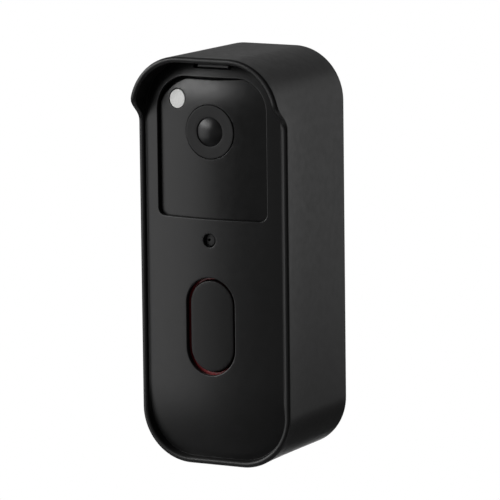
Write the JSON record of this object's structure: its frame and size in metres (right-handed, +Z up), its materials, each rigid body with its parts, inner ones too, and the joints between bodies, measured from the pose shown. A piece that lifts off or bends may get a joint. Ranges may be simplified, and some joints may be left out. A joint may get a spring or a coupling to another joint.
{
  "type": "video doorbell",
  "caption": "Battery video doorbell with a push button, round camera and soft black weather cover with a rain visor, on a wall bracket.",
  "frame": {"origin": "centre of the wall bracket's back face, on the wall", "axes": "+Z up, the front faces -Y, +Y points into the wall, +X to the right as seen from the front"},
  "size_m": [0.054, 0.047, 0.1349],
  "materials": {
    "cover_silicone": "matte",
    "housing_plastic": "matte",
    "window_gloss": "satin gloss",
    "ring_plastic": "matte",
    "button_plastic": "matte",
    "tab_plastic": "matte",
    "lens_glass": "polished",
    "sensor_white": "satin",
    "light_ring_red": "translucent",
    "bracket_plastic": "matte",
    "seal_rubber": "matte",
    "flap_rubber": "matte",
    "chip_black": "satin",
    "circuit_board": "solder mask",
    "flex_copper": "satin",
    "tin_plate": "satin",
    "spring_steel": "satin",
    "screw_steel": "satin",
    "terminal_brass": "satin",
    "led_clear": "clear",
    "filter_glass": "coated",
    "battery_wrap": "shrink film",
    "cone_paper": "matte"
  },
  "bodies": {
    "bracket": {"wall_bracket": "bracket_plastic"},
    "doorbell": {"rear_housing": "housing_plastic", "front_housing": "housing_plastic", "housing_seal": "seal_rubber", "camera_window": "window_gloss", "lens_ring": "ring_plastic", "lens_dome": "lens_glass", "lens_barrel": "chip_black", "inner_lens": "lens_glass", "lens_holder": "chip_black", "image_sensor": "chip_black", "camera_board": "circuit_board", "camera_flex": "flex_copper", "motion_sensor_lens": "sensor_white", "motion_sensor": "tin_plate", "motion_sensor_board": "circuit_board", "ir_led_1": "led_clear", "ir_led_2": "led_clear", "microphone": "tin_plate", "microphone_boot": "seal_rubber", "button_light_ring": "light_ring_red", "button_seal": "seal_rubber", "button_board": "circuit_board", "tactile_switch": "chip_black", "ring_led_1": "led_clear", "ring_led_2": "led_clear", "ring_led_3": "led_clear", "ring_led_4": "led_clear", "release_spring": "spring_steel", "battery_1": "battery_wrap", "battery_2": "battery_wrap", "battery_tray": "bracket_plastic", "battery_contact_top": "spring_steel", "battery_contact_bottom": "spring_steel", "main_board": "circuit_board", "shield_can": "tin_plate", "wifi_module": "chip_black", "antenna": "flex_copper", "board_connector": "chip_black", "speaker_frame": "chip_black", "speaker_cone": "cone_paper", "speaker_gasket": "seal_rubber", "charge_board": "circuit_board", "usb_port": "tin_plate", "reset_switch": "chip_black", "terminal_screw_1": "terminal_brass", "terminal_screw_2": "terminal_brass", "housing_screw_1": "screw_steel", "housing_screw_2": "screw_steel", "housing_screw_3": "screw_steel", "housing_screw_4": "screw_steel"},
    "cover": {"silicone_cover": "cover_silicone"},
    "button": {"button_cap": "button_plastic"},
    "plunger": {"switch_plunger": "bracket_plastic"},
    "release": {"release_tab": "tab_plastic"},
    "flap": {"port_flap": "flap_rubber"},
    "reset": {"reset_button": "bracket_plastic"},
    "filter": {"ir_cut_filter": "filter_glass"}
  },
  "joints": [
    {"name": "lift_off", "type": "slide", "parent": "bracket", "child": "doorbell", "axis": [0, 0, 1], "range_m": [0, 0.008]},
    {"name": "cover_pull_off", "type": "slide", "parent": "doorbell", "child": "cover", "axis": [0, -1, 0], "range_m": [0, 0.05]},
    {"name": "button_press", "type": "slide", "parent": "doorbell", "child": "button", "axis": [0, 1, 0], "range_m": [0, 0.0005], "stiffness_N_per_m": 2500, "springref_m": -0.0004},
    {"name": "switch_press", "type": "slide", "parent": "doorbell", "child": "plunger", "axis": [0, 1, 0], "range_m": [0, 0.0005]},
    {"name": "release_press", "type": "slide", "parent": "doorbell", "child": "release", "axis": [0, 1, 0], "range_m": [0, 0.0015], "stiffness_N_per_m": 1200, "springref_m": -0.0008, "deforming": ["release_spring"]},
    {"name": "flap_open", "type": "hinge", "parent": "doorbell", "child": "flap", "pos_m": [0, -0.00835, -0.06465], "axis": [1, 0, 0], "range_deg": [0, 90]},
    {"name": "reset_press", "type": "slide", "parent": "doorbell", "child": "reset", "axis": [0, -1, 0], "range_m": [0, 0.0005], "stiffness_N_per_m": 1500, "springref_m": -0.0003},
    {"name": "filter_shift", "type": "slide", "parent": "doorbell", "child": "filter", "axis": [1, 0, 0], "range_m": [0, 0.0054]}
  ],
  "couplings": [
    {"joint": "switch_press", "follows": "button_press", "ratio": 1}
  ]
}
